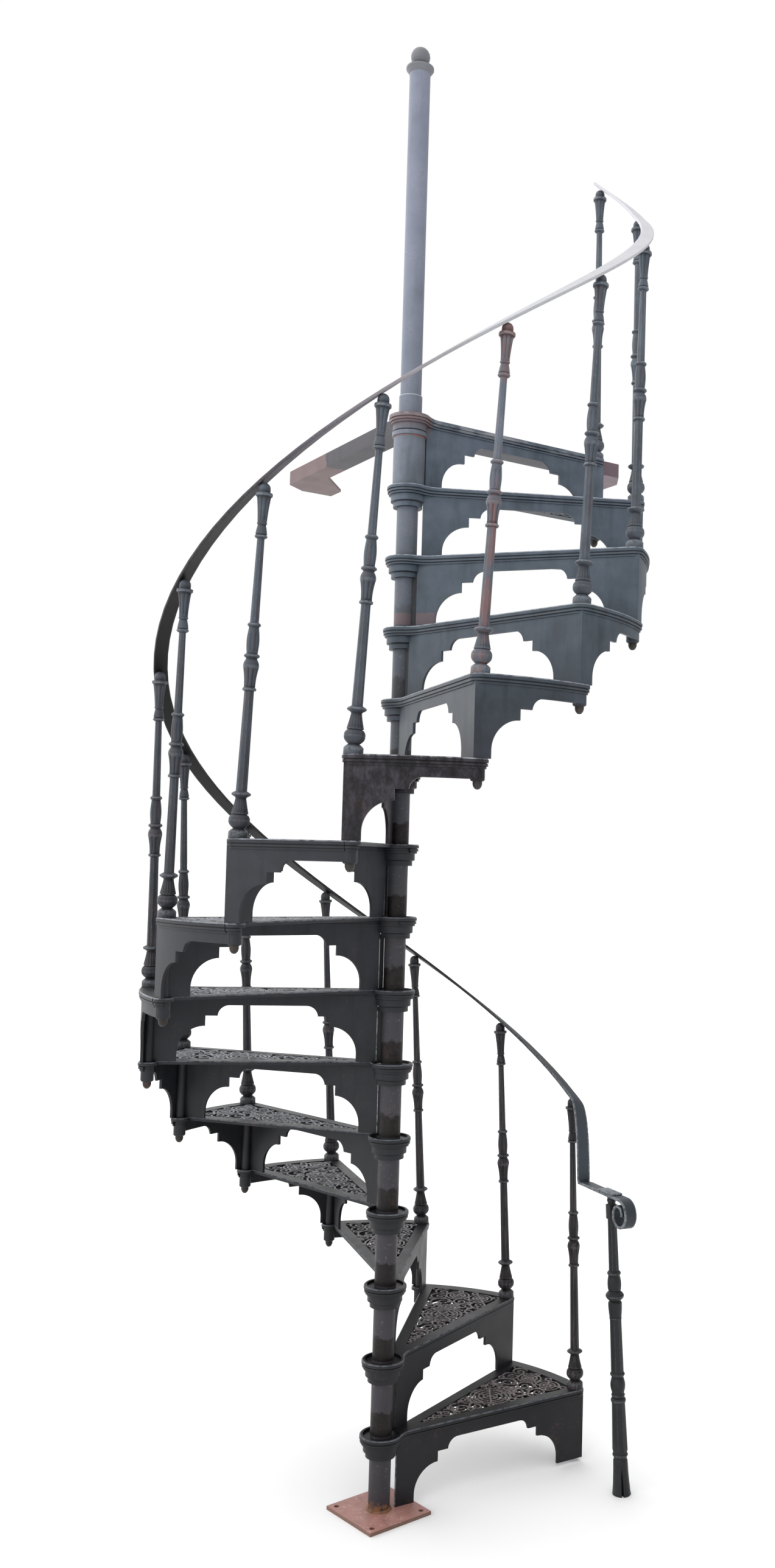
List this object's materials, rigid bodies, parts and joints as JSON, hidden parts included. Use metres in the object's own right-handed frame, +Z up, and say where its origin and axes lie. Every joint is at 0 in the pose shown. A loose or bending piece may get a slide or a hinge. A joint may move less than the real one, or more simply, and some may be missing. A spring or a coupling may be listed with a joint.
{
  "type": "spiral staircase",
  "caption": "Cast-iron spiral staircase on a tubular column, with pierced wedge treads, stepped-arch risers, turned balusters and a curling flat handrail.",
  "frame": {"origin": "column axis at the underside of the base plate", "axes": "+Z up the column, +X along the first riser, climbing counter-clockwise seen from above"},
  "size_m": [1.51, 1.51, 4.144],
  "materials": {
    "tread_iron": "old slate-grey paint, dark on the lower steps",
    "baluster_iron": "old slate-grey paint",
    "newel_iron": "worn black paint",
    "rail_iron": "worn grey paint on wrought flat bar",
    "column_paint": "grey paint with dark brown bands",
    "primed_steel": "salmon-red primer, worn and rusty",
    "nut_iron": "dark paint over rust"
  },
  "bodies": {
    "root": {"acorn_nuts": "nut_iron", "ball_finial": "column_paint", "baluster_01": "baluster_iron", "baluster_02": "baluster_iron", "baluster_03": "baluster_iron", "baluster_04": "baluster_iron", "baluster_05": "baluster_iron", "baluster_06": "baluster_iron", "baluster_07": "baluster_iron", "baluster_08": "baluster_iron", "baluster_09": "baluster_iron", "baluster_10": "baluster_iron", "baluster_11": "baluster_iron", "baluster_12": "baluster_iron", "baluster_13": "baluster_iron", "baluster_14": "baluster_iron", "baluster_15": "baluster_iron", "base_plate": "primed_steel", "column_tube": "column_paint", "handrail": "rail_iron", "landing_bearer_left": "primed_steel", "landing_bearer_right": "primed_steel", "landing_riser": "tread_iron", "landing_sleeve": "column_paint", "newel_post": "newel_iron", "pole_sleeve": "column_paint", "tread_01": "tread_iron", "tread_02": "tread_iron", "tread_03": "tread_iron", "tread_04": "tread_iron", "tread_05": "tread_iron", "tread_06": "tread_iron", "tread_07": "tread_iron", "tread_08": "tread_iron", "tread_09": "tread_iron", "tread_10": "tread_iron", "tread_11": "tread_iron", "tread_12": "tread_iron", "tread_13": "tread_iron", "tread_14": "tread_iron"}
  },
  "joints": []
}
